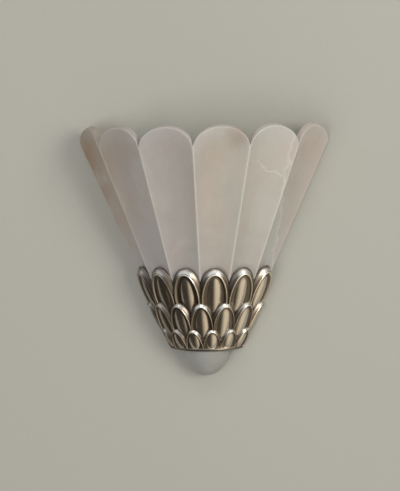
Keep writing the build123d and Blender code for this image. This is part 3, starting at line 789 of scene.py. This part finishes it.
# %% The stone's finish
def alabaster(name, zones, warmth):
    stone = Finish(name, Subsurface_Weight=0.4, Subsurface_Radius=(1.0, 0.85, 0.7),
                   Subsurface_Scale=0.005, IOR=1.52)
    across = stone.node("ShaderNodeSeparateXYZ", {"Vector": stone.place()}, output="X")
    upward = stone.node("ShaderNodeSeparateXYZ", {"Vector": stone.place()}, output="Z")
    drift = stone.noise(7, 2) - 0.5
    tone = stone.node("ShaderNodeValToRGB", {"Fac": across / 0.30 + 0.5 + drift * 0.22},
                      output="Color", stops=zones)
    blush = stone.noise(19, 4, stone.stretched((1, 1, 0.7), (0, 0.4, 0)), 0.55)
    blush = stone.step(blush, 0.42, 0.64)
    tone = stone.mix(blush * 0.6, tone, (1.04, 0.96, 0.925), blend="MULTIPLY")
    moss = stone.noise(31, 5, stone.stretched((1, 1, 0.8), (0.4, 0, 0)), 0.6)
    moss = stone.step(moss, 0.48, 0.68)
    tone = stone.mix(moss * 0.8, tone, (0.93, 0.955, 0.94), blend="MULTIPLY")
    low = 1 - stone.step(upward + drift * 0.05, -0.11, 0.03)
    tone = stone.mix(low * 0.9, tone, (0.93, 0.965, 1.02), blend="MULTIPLY")
    milky = stone.noise(24, 6, stone.stretched((1, 1, 0.7), (0.9, 0.5, 0.3)), 0.6, 0.5)
    milky = stone.step(milky, 0.50, 0.76)
    tone = stone.mix(milky * 0.34, tone, (0.55, 0.545, 0.51))
    flecks = stone.step(stone.noise(62, 4, rough=0.6), 0.55, 0.72)
    tone = stone.mix(flecks * 0.16, tone, (0.58, 0.57, 0.53))
    stain = stone.noise(11, 4, stone.stretched((1, 1, 0.6), (0, -0.6, 0)), 0.6)
    stain = stone.step(stain, 0.56, 0.78)
    tone = stone.mix(stain * warmth, tone, (0.36, 0.27, 0.20))
    # a bed of another colour crosses the last flute, and pale veins run along it and into it
    ragged = (stone.noise(38, 5, rough=0.65) - 0.5) * 0.020
    bed = across - upward * 0.2 + ragged - 0.0895
    tone = stone.mix(stone.step(bed, -0.001, 0.001) * 0.8, tone, (0.97, 0.925, 0.915),
                     blend="MULTIPLY")
    vein = upward + across * 0.546 + ragged * 1.5 - 0.111
    reach = stone.step(across, 0.060, 0.072) * (1 - stone.step(across, 0.094, 0.100))
    for distance, seen in ((bed, 0.40), (vein, reach * 0.45)):
        apart = stone.node("ShaderNodeMath", {0: distance}, operation="ABSOLUTE")
        tone = stone.mix((1 - stone.step(apart, 0.0002, 0.0021)) * seen, tone, (0.68, 0.67, 0.62))
    grain = stone.noise(140, 3)
    tone = stone.mix(stone.step(grain, 0.52, 0.75) * 0.10, tone, (0.36, 0.34, 0.31))
    stone.bump(stone.noise(45, 3) * 0.7 + grain * 0.3, 0.0004)
    if name == "alabaster_stone":
        # paler under the cut top, a painted highlight along the sharp edges that is stronger on
        # the right, and one rust-brown spot
        below = stone.node("ShaderNodeAttribute", {}, output="Fac", attribute_name="from_top")
        tone = stone.mix((1 - stone.step(below, 0.0, 0.022)) * 0.22, tone, (0.50, 0.52, 0.53))
        arris = stone.node("ShaderNodeAttribute", {}, output="Fac", attribute_name="from_arris")
        # painted highlight: the sharp edges are made paler, more so on the right side where the
        # light falls
        edge_highlight = 0.26 + stone.step(across, -0.08, 0.06) * 0.22
        wear_and_painted_light = (1 - stone.step(arris, 0.0003, 0.0021)) * edge_highlight
        tone = stone.mix(wear_and_painted_light, tone, (0.70, 0.69, 0.65))
        rust = stone.node("ShaderNodeVectorMath",
                          {0: stone.stretched((1, 0, 1)), 1: (0.052, 0, 0.104)},
                          operation="DISTANCE", output="Value") + (grain - 0.5) * 0.012
        tone = stone.mix((1 - stone.step(rust, 0.0, 0.026)) * 0.55, tone, (0.36, 0.27, 0.20))
    return stone.shows(Base_Color=tone, Roughness=0.36 + milky * 0.12 + grain * 0.10)


SHELL_ZONES = (
    (0.00, (0.30, 0.22, 0.155)), (0.15, (0.40, 0.345, 0.295)), (0.30, (0.425, 0.395, 0.375)),
    (0.48, (0.445, 0.41, 0.375)), (0.60, (0.47, 0.425, 0.37)), (0.76, (0.51, 0.49, 0.445)),
    (1.00, (0.51, 0.47, 0.42)),
)
FINIAL_ZONES = ((0.0, (0.33, 0.32, 0.28)), (1.0, (0.43, 0.415, 0.37)))
shell_stone = alabaster("alabaster_stone", SHELL_ZONES, 0.40)
finial_stone = alabaster("alabaster_drop", FINIAL_ZONES, 0.15)

# %% [markdown]
# ## The cast collar
# The casting is plated, then darkened and rubbed back. What lies deep stays dark and dull, and
# crests and almonds are polished by handling. The wear that the points carry gives both masks; it
# also carries painted shade on the flanks of the petals. The left side of the collar is painted
# darker as painted shade.

# %% The casting's finish
def aged_nickel():
    metal = Finish("aged_nickel", Metallic=1.0)
    wear_and_shade = metal.node("ShaderNodeAttribute", {}, output="Fac", attribute_name="wear_and_shade")
    across = metal.node("ShaderNodeSeparateXYZ", {"Vector": metal.place()}, output="X")
    cloud = metal.noise(60, 4, rough=0.6)
    # painted shade: the left side of the collar is darkened, where the shade falls
    left_side_shade = 1 - metal.step(across + (cloud - 0.5) * 0.03, -0.055, 0.012)
    deep = 1 - metal.step(wear_and_shade + (cloud - 0.5) * 0.4, -0.95, -0.1)
    crest = metal.step(wear_and_shade, 0.6, 1.0)
    tone = metal.mix(deep, (0.64, 0.60, 0.53), (0.14, 0.115, 0.090))
    tone = metal.mix(crest * 0.8, tone, (0.90, 0.81, 0.66))
    tone = metal.mix(left_side_shade * 0.6, tone, (0.17, 0.145, 0.12))
    speck = metal.step(metal.noise(420, 2), 0.60, 0.75)
    tone = metal.mix(speck * 0.2, tone, (0.25, 0.21, 0.16))
    metal.bump(metal.noise(230, 3) * 0.6 + cloud * 0.4, 0.00010)
    return metal.shows(Base_Color=tone,
                       Roughness=0.19 + deep * 0.2 + crest * 0.16 + speck * 0.08 + cloud * 0.05)


collar_metal = aged_nickel()

# %% Finishes for the working parts
def speckled(name, colour, rough, metal=0.0, scale=300, spread=0.12, relief=0.00005, **more):
    """A plain finish with the small unevenness that every real surface has."""
    finish = Finish(name, Metallic=metal, **more)
    fine = finish.noise(scale, 3)
    broad = finish.noise(scale / 12, 2)
    darker = tuple(c * (1 - 2.5 * spread) for c in colour)
    lighter = tuple(min(1, c * (1 + spread)) for c in colour)
    tone = finish.mix(finish.step(broad * 0.6 + fine * 0.4, 0.38, 0.62), darker, lighter)
    finish.bump(fine, relief)
    return finish.shows(Base_Color=tone, Roughness=rough + fine * 0.12)


def brushed(name, colour, rough):
    """Metal with fine lines along X from a belt."""
    finish = Finish(name, Metallic=1.0)
    lines = finish.noise(60, 4, finish.stretched((1, 14, 14)), 0.65)
    tone = finish.mix(finish.step(lines, 0.35, 0.65), tuple(c * 0.78 for c in colour), colour)
    finish.bump(lines, 0.00003)
    return finish.shows(Base_Color=tone, Roughness=rough + lines * 0.14)


def felt():
    """Short fibres that stand every way."""
    finish = Finish("felt", Sheen_Weight=0.3)
    fibres = finish.noise(900, 4, rough=0.7)
    tone = finish.mix(finish.step(fibres, 0.35, 0.65), (0.20, 0.19, 0.17), (0.42, 0.40, 0.36))
    finish.bump(fibres, 0.0003)
    return finish.shows(Base_Color=tone, Roughness=0.9 + fibres * 0.08)


def earth_insulation():
    """Green insulation with a yellow stripe along the wire."""
    finish = Finish("earth_insulation")
    bands = finish.node("ShaderNodeTexWave", {"Vector": finish.place(), "Scale": 95.0,
                                              "Distortion": 1.5}, output="Fac",
                        bands_direction="DIAGONAL")
    tone = finish.mix(finish.step(bands, 0.5, 0.56), (0.03, 0.22, 0.05), (0.75, 0.60, 0.04))
    return finish.shows(Base_Color=tone, Roughness=0.38 + bands * 0.04)


felt_finish = felt()
NODE_FINISHES = {
    ("hanger_bar", "hanger_screws", "collar_screws", "finial_rod", "finial_washer", "finial_nut",
     "holder_screws", "holder_nuts", "lamp_pins", "block_screw"):
        brushed("zinc_plated_steel", (0.62, 0.62, 0.60), 0.28),
    ("wall_plate", "lamp_shelf"):
        speckled("painted_steel", (0.66, 0.65, 0.61), 0.42, scale=420, spread=0.04, relief=0.0001),
    ("shelf_rivets",): brushed("aluminium_rivet", (0.72, 0.72, 0.72), 0.35),
    ("cable_grommet",): speckled("rubber_bush", (0.035, 0.035, 0.037), 0.62),
    ("lampholder",): speckled("holder_ceramic", (0.76, 0.73, 0.66), 0.55, scale=500, spread=0.05),
    ("lamp_base",): speckled("lamp_ceramic", (0.80, 0.80, 0.78), 0.30, scale=500, spread=0.02),
    ("lamp_globe",): speckled("frosted_glass", (0.86, 0.85, 0.82), 0.42, spread=0.02,
                              Transmission_Weight=0.35),
    ("lamp_core",): speckled("lamp_phosphor", (0.80, 0.68, 0.30), 0.6),
    ("terminal_block",): speckled("block_nylon", (0.72, 0.71, 0.66), 0.38, spread=0.03),
    ("terminal_screws", "earth_screw"): brushed("brass_screw", (0.72, 0.53, 0.22), 0.28),
    ("earth_tag",): brushed("tinned_copper", (0.66, 0.64, 0.60), 0.30),
    ("wire_live",): speckled("brown_insulation", (0.12, 0.045, 0.018), 0.40, spread=0.05),
    ("wire_neutral",): speckled("blue_insulation", (0.03, 0.10, 0.35), 0.40, spread=0.05),
    ("wire_earth",): earth_insulation(),
}
for names, finish in NODE_FINISHES.items():
    for name in names:
        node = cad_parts[name]
        node.data.materials.clear()
        node.data.materials.append(finish)
pieces = [(shell, shell_stone), (finial, finial_stone), (collar, collar_metal)]
pieces += [(pad, felt_finish) for pad in felt_pads]
for piece, finish in pieces:
    piece.data.materials.clear()
    piece.data.materials.append(finish)
print(len(bpy.data.materials), "materials")

# %% [markdown]
# ## The wall and the light
# The sconce hangs on a wall, so the backdrop is a plain pale wall behind it. It is painted
# plaster for a camera in front of it, and clear for a camera behind it and for the lamps, so that
# the back of the light can be looked at too. A large soft lamp on the right and one above light
# the stone and give the metal something bright to mirror. A third, which no metal mirrors, fills
# the shadows from the left.

# %% The wall
BACKDROP_BEHIND = 0.6 * MM

deselect_all()
bpy.ops.mesh.primitive_plane_add(size=8, location=(0, BACKDROP_BEHIND, 0),
                                 rotation=(math.pi / 2, 0, 0))
wall = named(bpy.context.object, "backdrop_wall")
plaster = Finish("wall_plaster")
mottle = plaster.noise(2.0, 3)
plaster.bump(plaster.noise(90, 4), 0.0003)
plaster.shows(Base_Color=plaster.mix(mottle, (0.42, 0.41, 0.365), (0.445, 0.435, 0.39)),
              Roughness=0.85 + mottle * 0.1)
clear = plaster.node("ShaderNodeBsdfTransparent", {})
hidden = plaster.node("ShaderNodeNewGeometry", {}, output="Backfacing")
for ray in ("Is Shadow Ray", "Is Diffuse Ray"):
    hidden = plaster.node("ShaderNodeMath",
                          {0: hidden, 1: plaster.node("ShaderNodeLightPath", {}, output=ray)},
                          operation="MAXIMUM")
seen = plaster.node("ShaderNodeMixShader",
                    {0: hidden, 1: Signal(plaster, plaster.shader.outputs[0]), 2: clear})
plaster.feed(plaster.tree.nodes["Material Output"].inputs["Surface"], seen)
wall.data.materials.append(plaster.material)

# %% The lamps
def soft_lamp(name, place, size, watts, colour, mirrored=True):
    lamp = bpy.data.objects.new(name, bpy.data.lights.new(name, "AREA"))
    lamp.data.shape = "RECTANGLE"
    lamp.data.size, lamp.data.size_y = size
    lamp.data.energy = watts
    lamp.data.color = colour
    lamp.location = place
    lamp.rotation_euler = (-Vector(place)).to_track_quat("-Z", "Y").to_euler()
    lamp.visible_glossy = mirrored
    scene.collection.objects.link(lamp)


soft_lamp("window", (2.0, -1.9, 0.6), (1.0, 1.6), 43, (1.0, 0.97, 0.90))
soft_lamp("ceiling", (0.1, -1.3, 1.9), (1.4, 0.6), 9, (0.97, 0.98, 1.0))
soft_lamp("room_fill", (-1.6, -2.8, -0.5), (1.8, 1.8), 36, (1.0, 0.99, 0.97), mirrored=False)

# %% The room
world = bpy.data.worlds.new("room")
scene.world = world
world.use_nodes = True
room = Recipe(world.node_tree)
ways = room.node("ShaderNodeTexCoord", {}, output="Generated")
toward, inwards, upward = (room.node("ShaderNodeSeparateXYZ", {"Vector": ways}, output=axis)
                           for axis in "XYZ")
mirrored = room.mix(room.step(toward, -0.20, 0.62), (0.070, 0.058, 0.045), (0.90, 0.77, 0.60))
sky = room.step(upward, -0.15, 0.25) * (1 - room.step(upward, 0.88, 0.99))
mirrored = room.mix(sky, mirrored, (1.0, 1.06, 1.15))
behind_wall = room.step(inwards, -0.05, 0.25)
mirrored = room.mix(behind_wall, mirrored, (0.42, 0.41, 0.38))
glossy = room.node("ShaderNodeLightPath", {}, output="Is Glossy Ray")
camera_ray = room.node("ShaderNodeLightPath", {}, output="Is Camera Ray")
lit = room.mix(behind_wall, (0.30, 0.30, 0.295), (0.40, 0.39, 0.36))
around = room.mix(glossy, lit, mirrored)
around = room.mix(camera_ray, around, (0.60, 0.59, 0.55))
room.feed(world.node_tree.nodes["Background"].inputs["Color"], around)
world.node_tree.nodes["Background"].inputs["Strength"].default_value = 1.0
